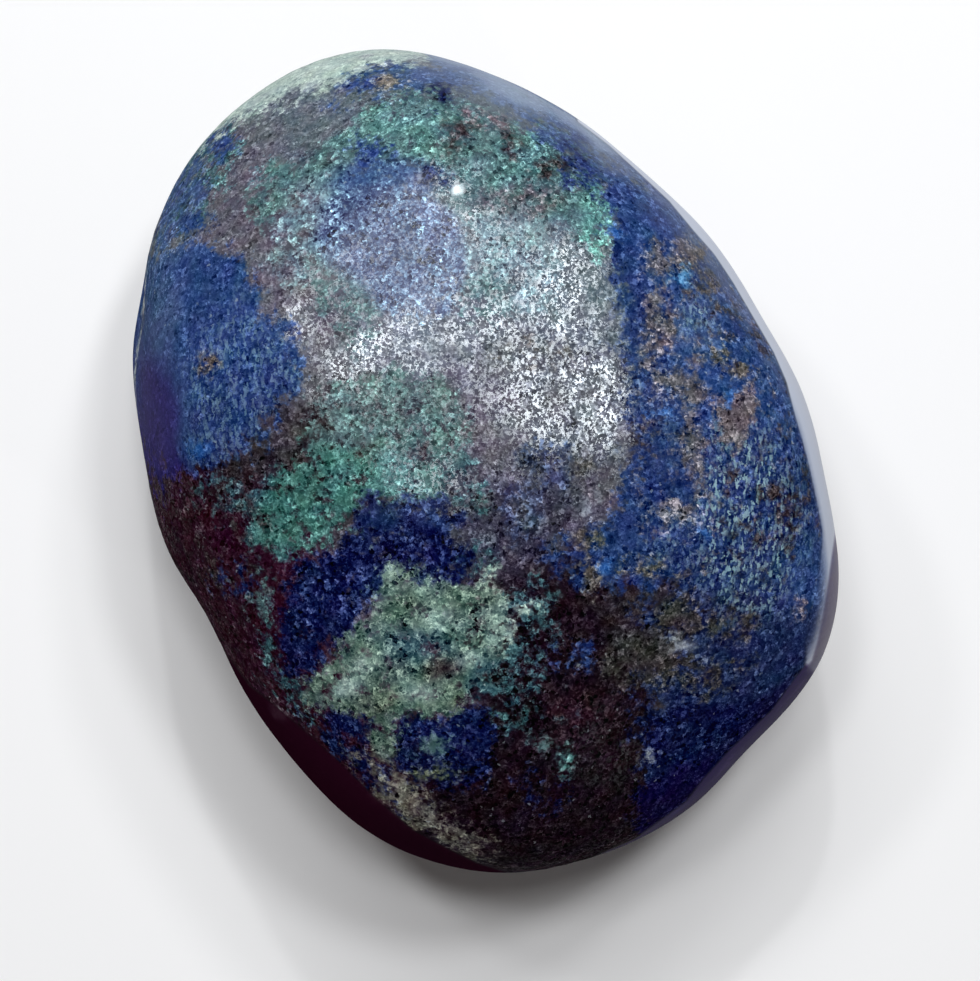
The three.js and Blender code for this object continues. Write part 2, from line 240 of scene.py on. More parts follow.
# Smaller mineral patches of each layer on the front, as the camera sees them. Each has its colour,
# its middle from the stone's middle (right, up), its half width and half height in millimetres,
# its turn in degrees and how firmly it covers: 0 is mottled half and half, 0.4 and up is solid.
FRONT_PATCHES = {
    "shattuckite": [
        ("bright teal", -3.6, 12.2, 0.8, 0.6, 0, 0.2), ("bright teal", -2.3, 11.6, 1.3, 0.8, 0, 0.15),
        ("bright teal", 1.4, 11.2, 1.2, 0.9, 0, 0.05), ("deep teal", 2.6, 10.6, 1.6, 1.3, -30, 0.1),
        ("bright teal", 3.75, 8.8, 0.6, 1.2, 10, 0.25), ("sage", -6.6, 8.6, 0.9, 2.0, -12, 0.1),
        ("teal", -5.2, 6.0, 0.8, 1.8, 28, 0.05), ("deep teal", -10.2, 10.4, 0.8, 1.8, -32, 0.1),
        ("sage", 1.0, 7.2, 1.8, 2.1, 0, 0.2), ("teal", 0.3, 6.0, 0.9, 0.9, 0, 0.15),
        ("muted green", -3.1, 1.5, 2.0, 1.2, 10, 0.2), ("steel blue", -3.6, 10.3, 1.5, 0.45, 0, 0.3),
        ("teal", -2.4, 1.0, 1.2, 0.8, 20, 0.2), ("teal", -3.0, 0.0, 1.9, 1.0, 10, 0.25),
        ("bright teal", -3.6, -0.3, 1.4, 0.6, 14, 0.15), ("bright teal", -5.0, -0.6, 0.7, 0.5, 0, 0.15),
        ("sea green", -5.4, -0.9, 2.0, 1.2, 18, 0.25), ("sea green", -7.2, -2.0, 1.2, 1.3, 0, 0.2),
        ("teal", -8.05, -4.9, 0.3, 0.7, 8, 0.2), ("deep teal", -7.75, -6.9, 0.16, 0.7, 14, -0.05),
        ("deep teal", -6.9, -8.4, 0.3, 0.8, 32, 0.1), ("deep teal", -9.3, -1.2, 0.8, 0.5, 0, -0.05),
        ("deep teal", -0.7, -1.3, 0.5, 0.6, 0, -0.1), ("deep teal", -0.5, -3.6, 0.7, 0.6, 0, -0.1),
        ("deep teal", -4.0, -1.9, 0.6, 0.5, 0, 0.1), ("deep teal", 1.0, -7.2, 1.1, 1.2, 0, 0.0),
        ("deep teal", 1.8, -5.6, 0.9, 1.2, 0, 0.0), ("deep teal", 1.0, -9.2, 0.6, 0.4, 0, -0.1),
        ("deep teal", -9.0, -2.6, 1.6, 1.6, 0, -0.55),
    ],
    "azurite": [
        ("steel blue", -2.2, 13.75, 2.4, 0.5, 4, 0.35), ("royal", -4.2, 13.6, 0.9, 0.35, 14, 0.3),
        # the lighter patches along the upper right rim are painted sheen over the azurite
        ("steel blue", 3.4, 11.2, 2.2, 0.4, -36, 0.1), ("haze blue", 6.4, 10.0, 2.6, 0.8, -46, 0.5),
        ("ink", 8.3, 6.4, 1.2, 1.0, -40, 0.3), ("haze blue", 8.9, 6.7, 2.8, 0.7, -57, 0.5),
        ("haze blue", 10.2, 3.6, 1.6, 0.5, -64, 0.5), ("midnight", -1.7, 13.1, 0.35, 0.28, 0, 0.3),
        ("royal", -4.3, 11.2, 0.55, 0.36, 0, 0.25), ("midnight", -2.0, 10.3, 0.3, 0.18, 0, 0.2),
        ("ink", 3.3, 10.6, 0.5, 0.8, 20, 0.1), ("steel blue", -10.9, 9.4, 0.6, 1.8, -24, 0.15),
        ("royal", -9.6, 11.3, 0.5, 0.4, 0, 0.2), ("royal", -10.4, 8.8, 0.45, 0.4, 0, 0.2),
        ("violet", -12.0, 1.8, 0.7, 2.4, 4, 0.6), ("steel blue", -11.7, 5.4, 0.7, 2.0, -8, 0.5),
        ("ink", -8.4, 3.2, 0.8, 1.0, 0, 0.4), ("ink", -9.4, 1.4, 1.4, 1.2, 0, 0.5),
        ("ink", -9.0, -4.2, 0.5, 0.4, 0, -0.05), ("midnight", -4.9, -9.5, 0.95, 0.6, -5, 0.3),
        ("midnight", -5.8, -5.2, 1.2, 1.7, -10, 0.5), ("midnight", -6.6, -7.0, 0.7, 0.7, 0, 0.4),
        ("dark ink", -2.8, -1.7, 0.8, 0.4, 10, 0.1), ("midnight", -2.4, -3.3, 1.6, 0.7, -10, 0.3),
        ("midnight", -4.25, -11.1, 1.7, 0.35, -42, 0.2), ("ink", 6.1, -0.4, 0.9, 1.6, 0, 0.6),
        ("ink", 9.1, -1.6, 2.2, 2.8, 0, 0.4), ("ink", 7.4, -3.4, 1.0, 1.0, 0, 0.4),
        ("steel blue", 7.6, 5.0, 0.6, 0.75, 0, 0.4), ("ink", 5.4, -3.9, 1.2, 0.6, -10, 0.3),
        ("dark ink", 9.0, -6.3, 2.0, 1.6, 0, 0.5), ("dark ink", 7.0, -5.4, 1.4, 0.7, 0, 0.1),
        ("dark ink", 7.6, -8.0, 2.0, 0.8, 10, 0.4), ("midnight", 7.0, -9.5, 1.6, 0.9, 24, 0.5),
        ("ink", 5.7, 2.4, 0.6, 2.2, 0, 0.3), ("slate blue", 2.4, 0.0, 1.0, 0.9, 0, 0.05),
        ("slate blue", 1.3, -1.9, 0.7, 0.9, 0, -0.05), ("ink", 2.8, -3.4, 0.6, 0.7, 0, 0.0),
        ("ink", 3.2, -7.0, 0.6, 0.4, 0, -0.05), ("midnight", 2.0, -11.8, 0.7, 0.5, 0, -0.15),
    ],
    "pale": [
        ("moss", -3.8, -8.5, 0.9, 0.5, 20, 0.15), ("moss", -1.4, -8.4, 0.7, 0.4, 0, 0.05),
        ("celadon", -3.5, -4.0, 0.34, 0.44, 30, 0.2), ("celadon", -2.4, -4.6, 0.5, 0.34, -20, 0.2),
        ("celadon", -1.7, -5.7, 0.7, 0.5, 20, 0.2), ("celadon", -4.3, -7.3, 0.6, 0.4, 30, 0.2),
        ("celadon", -2.3, -8.2, 0.8, 0.35, -10, 0.2), ("celadon", 0.6, -6.2, 0.4, 0.4, 0, 0.15),
        ("celadon", -4.9, -8.1, 0.6, 0.3, 10, 0.2), ("celadon", -0.4, -7.0, 0.3, 0.3, 0, 0.1),
        ("umber", -1.6, -7.2, 0.4, 0.26, 0, 0.2), ("deep teal", -2.3, -6.5, 0.9, 0.4, 10, 0.25),
        ("deep teal", 0.1, -7.8, 0.5, 0.5, 0, 0.1), ("celadon", 0.9, -5.8, 0.26, 0.24, 0, 0.3),
        ("celadon", 1.4, -5.2, 0.34, 0.22, 20, 0.3), ("celadon", 0.4, -3.8, 0.2, 0.2, 0, 0.3),
        ("olive tan", -2.7, -12.3, 1.9, 0.5, -34, 0.3), ("olive tan", -0.9, -13.6, 1.1, 0.5, -24, 0.1),
        ("sage", 3.25, -9.0, 0.2, 0.12, 0, 0.1),
    ],
    "tan": [
        ("olive tan", -3.7, 13.55, 0.3, 0.16, 0, 0.1), ("rust", -0.1, 12.4, 0.6, 0.2, -5, 0.0),
        ("umber", -1.2, 11.7, 0.34, 0.3, 0, 0.05), ("umber", 0.9, 11.6, 0.28, 0.24, 0, 0.0),
        ("umber", 2.3, 10.6, 0.42, 0.34, 0, 0.1), ("tan", 1.2, 9.4, 1.0, 0.5, 0, 0.0),
        ("rust brown", -2.3, 0.4, 0.24, 0.2, 0, 0.0), ("ochre", -10.2, 3.5, 0.28, 0.3, 0, 0.1),
        ("umber", 8.6, 1.0, 3.2, 6.0, 0, -0.2), ("umber", -9.4, -3.4, 1.8, 2.2, 0, -0.2),
        ("tan", 6.1, 7.3, 0.5, 0.6, 0, 0.2), ("tan", 7.2, 7.4, 0.55, 0.6, -20, 0.2),
        ("tan", 6.2, 5.1, 0.55, 0.95, 8, 0.2), ("ochre", 7.95, 6.55, 0.5, 0.3, -30, 0.05),
        ("ochre", 7.5, 7.2, 0.3, 0.45, -40, 0.1), ("tan", 7.45, 3.8, 0.25, 0.22, 0, 0.25),
        ("ochre", 8.2, 3.9, 0.25, 0.25, 0, 0.25), ("ochre", 9.1, 3.2, 0.3, 0.3, 0, 0.3),
        ("tan", 6.7, 2.9, 0.6, 0.4, -20, 0.3), ("tan", 7.5, 2.5, 0.55, 0.45, -10, 0.3),
        ("rust", 9.1, 1.5, 0.8, 1.0, 0, 0.45), ("tan", 7.4, 0.4, 0.38, 1.6, 0, 0.25),
        ("tan", 6.4, -1.8, 0.6, 0.5, 0, 0.15), ("ochre", 5.8, -3.6, 0.5, 0.4, 0, -0.05),
        ("tan", 4.2, -1.0, 0.5, 0.4, 20, 0.1), ("ochre", 2.0, 3.9, 0.9, 0.5, 0, -0.15),
        ("olive brown", 3.7, -0.1, 0.4, 0.3, 0, -0.1), ("ochre", 3.9, -2.8, 0.35, 0.4, 0, 0.0),
        ("ochre", 3.95, -4.3, 0.26, 0.42, 0, 0.2), ("olive brown", 7.0, -5.6, 0.9, 0.8, 0, 0.2),
        ("olive brown", 8.9, -5.7, 0.8, 0.6, 0, 0.1), ("olive brown", 8.2, -7.6, 0.9, 0.5, 20, -0.05),
        ("umber", 10.9, -1.6, 0.45, 0.9, 0, 0.0), ("olive brown", 5.4, -7.4, 1.3, 0.8, 0, 0.05),
        ("rust", 11.4, -5.2, 0.2, 0.22, 0, 0.2), ("rust brown", 3.6, -8.9, 1.2, 1.0, 0, 0.1),
    ],
    "spot": [
        ("teal", -1.7, -10.3, 0.5, 0.34, 10, 0.1), ("moss", -1.7, -11.3, 0.5, 0.3, 10, 0.1),
        ("bright teal", 2.82, -10.65, 0.3, 0.36, 0, 0.3), ("teal", 2.0, -10.1, 0.3, 0.2, 0, 0.1),
        ("azure", 4.4, 8.3, 0.26, 0.22, 0, 0.3), ("light azure", 7.07, 6.68, 0.24, 0.22, 0, 0.3),
        ("azure", 8.66, 2.27, 0.22, 0.2, 0, 0.3), ("azure", 6.14, 1.88, 0.24, 0.22, 0, 0.3),
        ("azure", 7.76, -2.65, 0.2, 0.2, 0, 0.3), ("azure", 4.48, -3.98, 0.24, 0.2, 0, 0.3),
        # the pale streak at 7.1, -6.6 is a painted glint on a small polished flat; the other two are pale
        # chips
        ("azure", -10.46, 0.45, 0.3, 0.2, 0, 0.1), ("chalk", 5.8, -10.55, 0.08, 0.07, 0, 0.2),
        ("chalk", 7.1, -6.6, 0.22, 0.07, -26, 0.25), ("chalk", -7.45, -9.1, 0.22, 0.14, -35, 0.1),
        ("pebble", 3.8, -1.55, 0.28, 0.16, 35, 0.1),
    ],
}

# Ground tones on the front: colour, middle, half width and half height in millimetres
FRONT_GROUNDS = [
    ("slate grey", -5.5, 12.4, 3.0, 1.6), ("taupe", -8.6, 9.0, 2.2, 3.0), ("taupe", -6.6, 4.4, 1.6, 3.4),
    ("slate grey", 3.2, 6.4, 2.2, 3.0), ("flecked grey", 3.2, 2.8, 2.2, 2.4), ("taupe", 0.6, 1.2, 1.6, 2.4),
    # the plum grounds on the lower left are darker and redder than the matrix, as painted shade with a
    # reddish reflection
    ("dusk", 1.6, -1.6, 3.0, 1.6), ("umber", -6.0, 1.2, 1.4, 1.8), ("plum", -10.2, -3.0, 2.4, 3.0),
    ("plum", -8.6, -6.6, 1.8, 3.0), ("soot", 2.8, -8.6, 2.2, 2.0), ("plum", -6.4, -11.0, 2.6, 2.0),
    ("soot", 3.0, -12.4, 4.5, 1.8), ("soot", 2.4, -5.8, 2.2, 1.6), ("olive brown", 6.0, -6.9, 2.0, 1.3),
    ("soot", 5.0, -9.6, 2.2, 1.6), ("taupe", 4.3, -1.1, 1.0, 0.9), ("mauve grey", -3.0, 4.5, 3.2, 0.9),
    ("umber", -9.3, -0.6, 1.6, 1.2), ("slate grey", 0.3, 12.0, 2.4, 1.0),
    ("slate grey", -10.6, 10.0, 1.2, 2.4),
]

# Patches of each layer on the sides and the back: colour, azimuth and elevation in degrees, half
# width round the stone and half height up it in millimetres, and how firmly it covers
ROUND_PATCHES = {
    "shattuckite": [
        ("teal", 70, -30, 3.4, 2.2, 0.2), ("sea green", 118, -30, 3.0, 2.4, 0.2),
        ("deep teal", 138, -14, 2.4, 2.0, 0.1), ("teal", 190, -36, 3.0, 2.2, 0.2),
        ("sea green", 284, -34, 2.6, 1.8, 0.15), ("teal", 338, -6, 1.1, 0.6, 0.1),
        ("deep teal", 229, 0, 1.3, 0.5, -0.05), ("teal", 150, -62, 3.4, 3.0, 0.3),
        ("sea green", 170, -76, 2.4, 2.0, 0.1), ("sage", 268, -58, 2.6, 2.0, 0.1),
    ],
    "azurite": [
        ("royal", 8, -12, 4.2, 2.6, 0.6), ("ink", 40, -18, 4.4, 2.8, 0.5),
        ("steel blue", 62, -2, 4.0, 1.6, 0.4), ("midnight", 96, -44, 3.4, 2.6, 0.4),
        ("royal", 152, -22, 3.2, 3.0, 0.4), ("violet", 176, -14, 3.2, 2.4, 0.5),
        ("royal", 214, -30, 3.4, 2.6, 0.4), ("midnight", 262, -26, 3.6, 2.2, 0.4),
        ("midnight", 312, -14, 4.0, 2.6, 0.6), ("ink", 288, -14, 2.4, 1.2, 0.2),
        ("royal", 22, 3, 2.6, 0.9, 0.1), ("royal", 350, -1, 2.2, 1.0, 0.25), ("ink", 6, -3, 1.8, 1.1, 0.3),
        ("ink", 240, -6, 1.7, 0.9, 0.0), ("royal", 340, -30, 3.6, 2.6, 0.5),
        ("royal", 30, -72, 4.6, 3.6, 0.6), ("ink", 80, -64, 2.6, 3.0, 0.3),
        ("royal", 205, -64, 3.0, 2.6, 0.5), ("midnight", 300, -66, 2.6, 2.2, 0.4),
    ],
    "pale": [
        ("celadon", 118, -4, 2.4, 1.3, 0.2), ("sage", 104, -10, 1.8, 1.2, 0.1),
        ("olive tan", 236, -24, 2.4, 1.2, 0.15), ("pale green", 300, -44, 2.6, 2.0, 0.25),
        ("pale green", 250, -72, 2.8, 2.0, 0.3), ("deep teal", 112, -8, 0.8, 0.5, 0.3),
    ],
    "tan": [
        ("umber", 300, 7, 1.3, 0.7, 0.1), ("umber", 357, 1, 1.4, 0.5, 0.0),
        ("umber", 247, 2, 1.4, 0.6, 0.05), ("rust", 233, -12, 1.0, 0.6, 0.0),
        ("olive brown", 326, 4, 1.4, 0.6, 0.1), ("tan", 352, -20, 1.4, 1.0, 0.1),
        ("rust", 26, -28, 1.6, 1.0, 0.1), ("tan", 206, -14, 1.6, 0.8, 0.05),
        ("umber", 330, -8, 1.8, 0.9, 0.05), ("rust", 0, -60, 1.4, 1.0, 0.1),
        ("tan", 110, -74, 1.6, 0.9, 0.05), ("umber", 106, -2, 0.5, 0.4, 0.1),
    ],
    "spot": [
        # the thin pale lines at azimuth 156 to 201 are painted highlights along the left rim, the flecks at
        # 309 and 321 painted glints on the lower right ridge
        ("chalk", 167, 5, 1.9, 0.14, 0.0), ("chalk", 156, 5, 0.9, 0.16, 0.05),
        ("chalk", 201, 6, 1.0, 0.16, 0.0), ("chalk", 321, 12, 0.4, 0.12, 0.0),
        ("chalk", 309, 12, 0.3, 0.1, 0.0), ("azure", 300, 11, 0.3, 0.16, 0.2),
        ("azure", 18, -22, 0.3, 0.3, 0.2), ("azure", 345, -44, 0.3, 0.25, 0.2),
        ("sea green", 222, -12, 0.5, 0.4, 0.2), ("azure", 186, -56, 0.3, 0.3, 0.2),
    ],
}

# How far below the girdle the front's patches still reach
FRONT_REACH_MM = 1.2

# The noises that make patches stray: size in metres and share of the distance. The front's areas and
# patches stray by this share of what the others do. The seed keeps the noises the same in each run.
STRAYING = ((0.0032, 0.96), (0.0012, 0.48), (0.0005, 0.224))
FRONT_STRAYING = 0.45
STRAYING_SEED = 1796075034

# What a later patch of a layer gains over an earlier one, how softly colours blend, how far a patch
# of a side reaches into the stone and how wide a layer's border is, in millimetres
PATCH_GAIN = 0.04
PATCH_BLEND = 0.12
GROUND_BLEND = 0.5
PATCH_DEPTH = 3.0
BORDER = 0.2

# Zones of light fibres in the azurite, as the camera sees them: middle, half width and half height
# in millimetres, and strength
FIBRE_ZONES = [
    (-8.9, 2.2, 2.4, 3.8, 0.5), (9.4, -2.0, 2.4, 3.6, 1.0), (7.6, 5.1, 0.75, 0.8, 0.9),
    (6.8, -3.0, 1.2, 1.6, 0.5), (6.0, 3.0, 1.2, 4.0, 0.25),
]

# How strongly the polish glitters on the front: middle, half width and half height in
# millimetres, and strength. A later zone lies over an earlier one; elsewhere it is POLISH_LEVEL.
POLISH_LEVEL = 0.45
POLISH_ZONES = [
    (-8.0, -7.5, 8.0, 8.0, 0.06), (1.0, -11.5, 9.0, 5.0, 0.06), (8.0, -9.0, 6.0, 4.0, 0.08),
    (1.5, -5.5, 4.5, 3.5, 0.12), (-12.0, 3.0, 2.5, 6.0, 0.15), (-6.0, 11.5, 3.0, 1.8, 0.4),
    (0.0, 5.4, 3.4, 1.6, 0.65), (-3.4, 4.1, 3.3, 1.3, 0.94), (-6.7, 4.9, 0.6, 0.8, 1.0),
    (-6.5, 8.5, 0.7, 0.8, 1.0), (2.1, 5.1, 2.4, 1.2, 0.7), (3.3, 7.0, 1.6, 1.1, 0.9),
    (3.2, 2.6, 2.2, 2.2, 0.8), (-2.9, 1.4, 3.2, 2.0, 0.2), (0.3, -0.2, 1.6, 1.8, 0.18),
    (2.6, -0.6, 1.6, 1.2, 0.32), (-0.6, 8.5, 0.45, 0.45, 1.0), (0.2, 7.7, 0.6, 0.5, 0.9),
]

# Calm places of the front, with little grain: middle, half width and half height in millimetres,
# turn in degrees, strength of their polish and how calm they are
CALM_ZONES = [
    (-3.5, 7.9, 2.9, 2.6, 0, 0.55, 0.25), (-0.4, 13.7, 3.6, 0.9, -16, 0.5, 0.6),
    (3.4, 12.2, 3.6, 0.7, -38, 0.5, 0.7), (7.6, 7.9, 4.2, 0.7, -50, 0.5, 0.5),
    (-11.9, 2.2, 0.9, 2.4, 0, 0.15, 0.6), (-7.9, 14.1, 4.0, 1.2, 22, 0.3, 0.4),
    (7.08, -6.6, 0.45, 0.16, -2, 1.0, 1.0),
]

# How far below the girdle the bevels fade out and are still whole, in millimetres
BEVEL_FADE = (2.2, 0.6)

# Smooth bevels round the rim without grain, as the camera sees them, painted with reflection and shade
# colours:
# colour and its share, strength of their polish, and their corners from the stone's middle in millimetres
PAINTED_RIM_BEVELS = [
    # the lower left bevel: painted shade with a reddish reflection
    ("plum", 0.8, 0.0, [
        (-10.9, -4.2), (-9.8, -6.2), (-8.5, -8.0), (-7.7, -8.6), (-6.2, -9.9), (-5.1, -10.9), (-3.9, -12.1),
        (-2.6, -13.2), (-1.3, -13.9), (-0.3, -14.4), (0.8, -14.75), (1.8, -15.0), (1.8, -16.0),
        (-4.0, -15.6), (-8.4, -12.4), (-12.0, -7.0), (-13.2, -3.0), (-12.0, -2.6),
    ]),
    # painted shade and dark reflection along the lower right rim
    ("dark violet reflection", 0.82, 0.12, [
        (12.7, -1.4), (12.4, -3.2), (12.05, -5.3), (11.5, -7.25), (10.3, -8.9), (8.8, -10.3), (7.9, -11.3),
        (7.2, -12.2), (5.4, -13.5), (3.6, -14.3), (2.2, -15.0), (9.0, -14.0), (14.0, -8.0), (14.5, -1.0),
    ]),
    # a painted dark reflection on the lower part of the right rim
    ("grey violet reflection", 0.6, 0.3, [
        (12.9, -1.4), (12.5, -2.6), (12.4, -3.15), (12.2, -4.23), (12.0, -5.31), (11.8, -6.39),
        (11.6, -7.4), (12.6, -8.2), (14.0, -6.0), (14.0, -1.4),
    ]),
    # the light strip on the right rim, a painted reflection of the pale surroundings
    ("painted_bevel", 0.95, 0.36, [
        (3.26, 12.29), (4.48, 11.36), (5.45, 10.46), (6.59, 9.4), (7.47, 8.33), (8.19, 7.51), (8.91, 6.43),
        (9.86, 4.8), (10.36, 3.93), (10.8, 2.9), (11.14, 1.57), (11.41, 0.67), (11.63, -0.2),
        (11.88, -1.39), (12.09, -2.5), (12.08, -2.97), (11.97, -4.05), (11.75, -5.31), (11.54, -6.39),
        (11.5, -7.25), (11.72, -7.25), (11.97, -6.39), (12.18, -5.31), (12.36, -4.23), (12.51, -3.15),
        (12.62, -2.5), (14.0, -1.0), (13.6, 3.0), (11.5, 7.5), (8.5, 11.0), (5.0, 13.6), (3.4, 12.9),
    ]),
]

# A glassy place on the front: middle and radius in millimetres
GLASSY_SPOT = (-1.03, 9.81, 0.2)

# Lamps: name, azimuth and elevation in degrees, distance and size in metres, power in watts.
# The softbox gives the haze, the small lamps the glints.
LAMPS = [
    ("softbox", 95, 58, 0.26, 0.14, 0.22),
    ("right lamp", 52, 68, 0.28, 0.034, 0.16),
    ("left lamp", 122, 75, 0.28, 0.034, 0.11),
    ("top lamp", 75, 80, 0.28, 0.034, 0.12),
    ("middle lamp", 84, 57, 0.28, 0.034, 0.03),
    ("far left lamp", 133, 57, 0.28, 0.030, 0.08),
    ("far right lamp", 58, 56, 0.28, 0.030, 0.09),
    ("pin lamp", 92, 51, 0.30, 0.012, 0.10),
    ("low lamp", 313, 24, 0.30, 0.010, 0.035),
]

# Chips where the polish is broken: azimuth, elevation, radius in millimetres
CHIPS = [
    (157, 8, 1.0), (171, -6, 0.9), (208, 4, 1.0), (306, 28, 0.3), (338, -28, 1.1), (96, -22, 1.4),
    (20, -52, 0.9), (118, -50, 1.0),
]


class StoneShape(bpy.types.PropertyGroup):
    """Sizes of the stone's mesh and of its relief."""

    levels: IntProperty(
        name="Fineness", description="Times that the ball's faces are cut in four", default=3, min=0, max=3
    )
    smoothing: IntProperty(
        name="Smoothing", description="Passes that take the facets out of the form", default=12, min=0
    )
    swell: FloatProperty(
        name="Swell", description="Height of the long, low unevenness", default=0.00003, subtype="DISTANCE"
    )
    pitting: FloatProperty(
        name="Pitting", description="Depth of the small pits in the matrix", default=0.00005,
        subtype="DISTANCE",
    )
    breakage: FloatProperty(
        name="Breakage", description="Roughness of the broken chips", default=0.00016, subtype="DISTANCE"
    )
    wander: FloatProperty(
        name="Wander", description="How far a mineral patch strays from its plain form", default=0.0007,
        subtype="DISTANCE",
    )


class StonePolish(bpy.types.PropertyGroup):
    """The stone's gloss."""

    coat: FloatProperty(name="Coat", description="Share of the clear polish", default=1.0, subtype="FACTOR")
    coat_roughness: FloatProperty(
        name="Coat roughness", description="Roughness of the clear polish", default=0.24, subtype="FACTOR"
    )
    hue_drift: FloatProperty(
        name="Hue drift", description="How much the hue changes over the stone", default=0.07, min=0
    )
    ripple_height: FloatProperty(
        name="Ripple", description="Height of the finest relief, in millimetres", default=0.025, min=0
    )


class StageSettings(bpy.types.PropertyGroup):
    """The studio."""

    floor_colour: FloatVectorProperty(
        name="Floor", description="Colour of the floor", subtype="COLOR", size=3, default=(0.94, 0.88, 0.85),
        min=0, max=1,
    )
    floor_radius: FloatProperty(
        name="Floor radius", description="From the stone to the foot of the wall", default=0.5,
        subtype="DISTANCE",
    )
    wall_height: FloatProperty(
        name="Wall height", description="Height of the wall round the floor", default=0.3, subtype="DISTANCE"
    )
    lamp_power: FloatProperty(name="Lamps", description="Power of all lamps", default=1.0, min=0)
    lamp_colour: FloatVectorProperty(
        name="Lamp colour", description="Colour of the lamps", subtype="COLOR", size=3,
        default=(0.88, 0.95, 1.0), min=0, max=1,
    )
    lens: FloatProperty(
        name="Lens", description="Focal length of the camera", default=120, subtype="DISTANCE_CAMERA"
    )
    sky: FloatProperty(name="Sky", description="Brightness of the space above", default=0.05, min=0)


# Small helpers for modelling

def deselect_all():
    if bpy.context.object and bpy.context.object.mode != "OBJECT":
        bpy.ops.object.mode_set(mode="OBJECT")
    bpy.ops.object.select_all(action="DESELECT")


def make_active(piece):
    deselect_all()
    piece.select_set(True)
    bpy.context.view_layer.objects.active = piece


def apply_modifier(piece, kind, **settings):
    """Adds one modifier with its settings and applies it."""
    make_active(piece)
    modifier = piece.modifiers.new(kind.title(), kind)
    for name, value in settings.items():
        setattr(modifier, name, value)
    bpy.ops.object.modifier_apply(modifier=modifier.name)


def place_in_mesh(piece):
    """Moves the piece's place, turn and size into its mesh, so that its object sits at the origin."""
    make_active(piece)
    bpy.ops.object.transform_apply(location=True, rotation=True, scale=True)


def vertex_places(piece):
    flat = np.empty(len(piece.data.vertices) * 3)
    piece.data.vertices.foreach_get("co", flat)
    return flat.reshape(-1, 3)


def direction(azimuth, elevation):
    """The way from the stone's middle at an azimuth and an elevation in degrees."""
    around = math.radians(azimuth)
    up = math.radians(elevation)
    return Vector((math.cos(up) * math.cos(around), math.cos(up) * math.sin(around), math.sin(up)))


def smooth_step(value, low, high):
    """A soft rise from 0 at the low value to 1 at the high one."""
    share = np.clip((value - low) / (high - low), 0, 1)
    return share * share * (3 - 2 * share)


# The stone's form

def smooth_target():
    """A smooth copy of the CAD stone, for the ball to be wrapped on."""
    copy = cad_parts[NODE].copy()
    copy.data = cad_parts[NODE].data.copy()
    copy.name = "wrap_target"
    bpy.context.scene.collection.objects.link(copy)
    copy.parent = None
    make_active(copy)
    bpy.ops.object.mode_set(mode="EDIT")
    bpy.ops.mesh.select_all(action="SELECT")
    bpy.ops.mesh.remove_doubles(threshold=1e-6)
    bpy.ops.object.mode_set(mode="OBJECT")
    apply_modifier(copy, "SUBSURF", levels=2, render_levels=2)
    return copy


def make_body(shape):
    """The stone as one fine, smooth mesh: a cube cut up, rounded and wrapped on the form."""
    middle = (STONE_LOW + STONE_HIGH) / 2
    size = STONE_HIGH - STONE_LOW
    deselect_all()
    bpy.ops.mesh.primitive_cube_add(size=1, location=middle)
    stone = bpy.context.object
    stone.name = "stone"
    bpy.ops.object.mode_set(mode="EDIT")
    bpy.ops.mesh.select_all(action="SELECT")
    bpy.ops.mesh.subdivide(number_cuts=15)
    bpy.ops.object.mode_set(mode="OBJECT")
    apply_modifier(stone, "CAST", cast_type="SPHERE", factor=1.0, size=0.62, use_radius_as_size=False)
    stone.scale = size
    place_in_mesh(stone)
    target = smooth_target()
    apply_modifier(stone, "SUBSURF", levels=shape.levels, render_levels=shape.levels)
    apply_modifier(stone, "SHRINKWRAP", target=target, wrap_method="TARGET_PROJECT")
    apply_modifier(stone, "SMOOTH", factor=0.5, iterations=shape.smoothing)
    bpy.data.objects.remove(target)
    return stone


def add_relief(stone, shape, ground, broken):
    """Low unevenness all over, pits in the ground and rough chips, as real relief."""
    def group(name, weights):
        made = stone.vertex_groups.new(name=name)
        for index, weight in enumerate(weights):
            if weight > 0.01:
                made.add([index], float(weight), "REPLACE")
        return made.name

    def displace(texture_name, size, depth, strength, vertex_group):
        texture = bpy.data.textures.new(texture_name, "CLOUDS")
        texture.noise_scale = size
        texture.noise_depth = depth
        apply_modifier(
            stone, "DISPLACE", texture=texture, texture_coords="LOCAL", strength=strength,
            mid_level=0.5, vertex_group=vertex_group,
        )

    everywhere = np.ones(len(stone.data.vertices))
    displace("low unevenness", 2.2 * MM, 1, shape.swell, group("everywhere", everywhere))
    displace("small pits", 0.5 * MM, 2, shape.pitting, group("ground", ground))
    displace("broken faces", 0.6 * MM, 3, shape.breakage, group("broken", broken))
    stone.vertex_groups.clear()


# Where the minerals are

def surface_finder(piece):
    """A function that finds the place on the surface, and its normal, in a direction from the middle."""
    tree = BVHTree.FromObject(piece, bpy.context.evaluated_depsgraph_get())
    middle = Vector((0, 0, GIRDLE_MM * MM))

    def towards(azimuth, elevation):
        way = direction(azimuth, elevation)
        hit = tree.ray_cast(middle + way * 0.1, -way)
        return np.array(hit[0]), np.array(hit[1])

    return towards


def strayed(places, distance):
    """The places moved about by slow noise, so that the patches lose their plain forms."""
    noise.seed_set(STRAYING_SEED)
    moved = places.copy()
    for size, share in STRAYING:
        for index, place in enumerate(places):
            drift = noise.noise_vector(Vector(place) / size)
            moved[index] += np.array(drift) * distance * share
    return moved


def seen_from_above(places):
    """Where the camera sees each place on the front, right and up in millimetres at the girdle's level."""
    eye = np.array(camera_place())
    level = GIRDLE_MM * MM
    share = (eye[2] - level) / (eye[2] - places[:, 2])
    return (eye[:2] + (places[:, :2] - eye[:2]) * share[:, None]) / MM - np.array(FRONT_MIDDLE_MM)


def below_girdle(places):
    """What to take off a front patch on the underside, so that it ends a little below the girdle."""
    return np.maximum(0, GIRDLE_MM - FRONT_REACH_MM - places[:, 2] / MM)


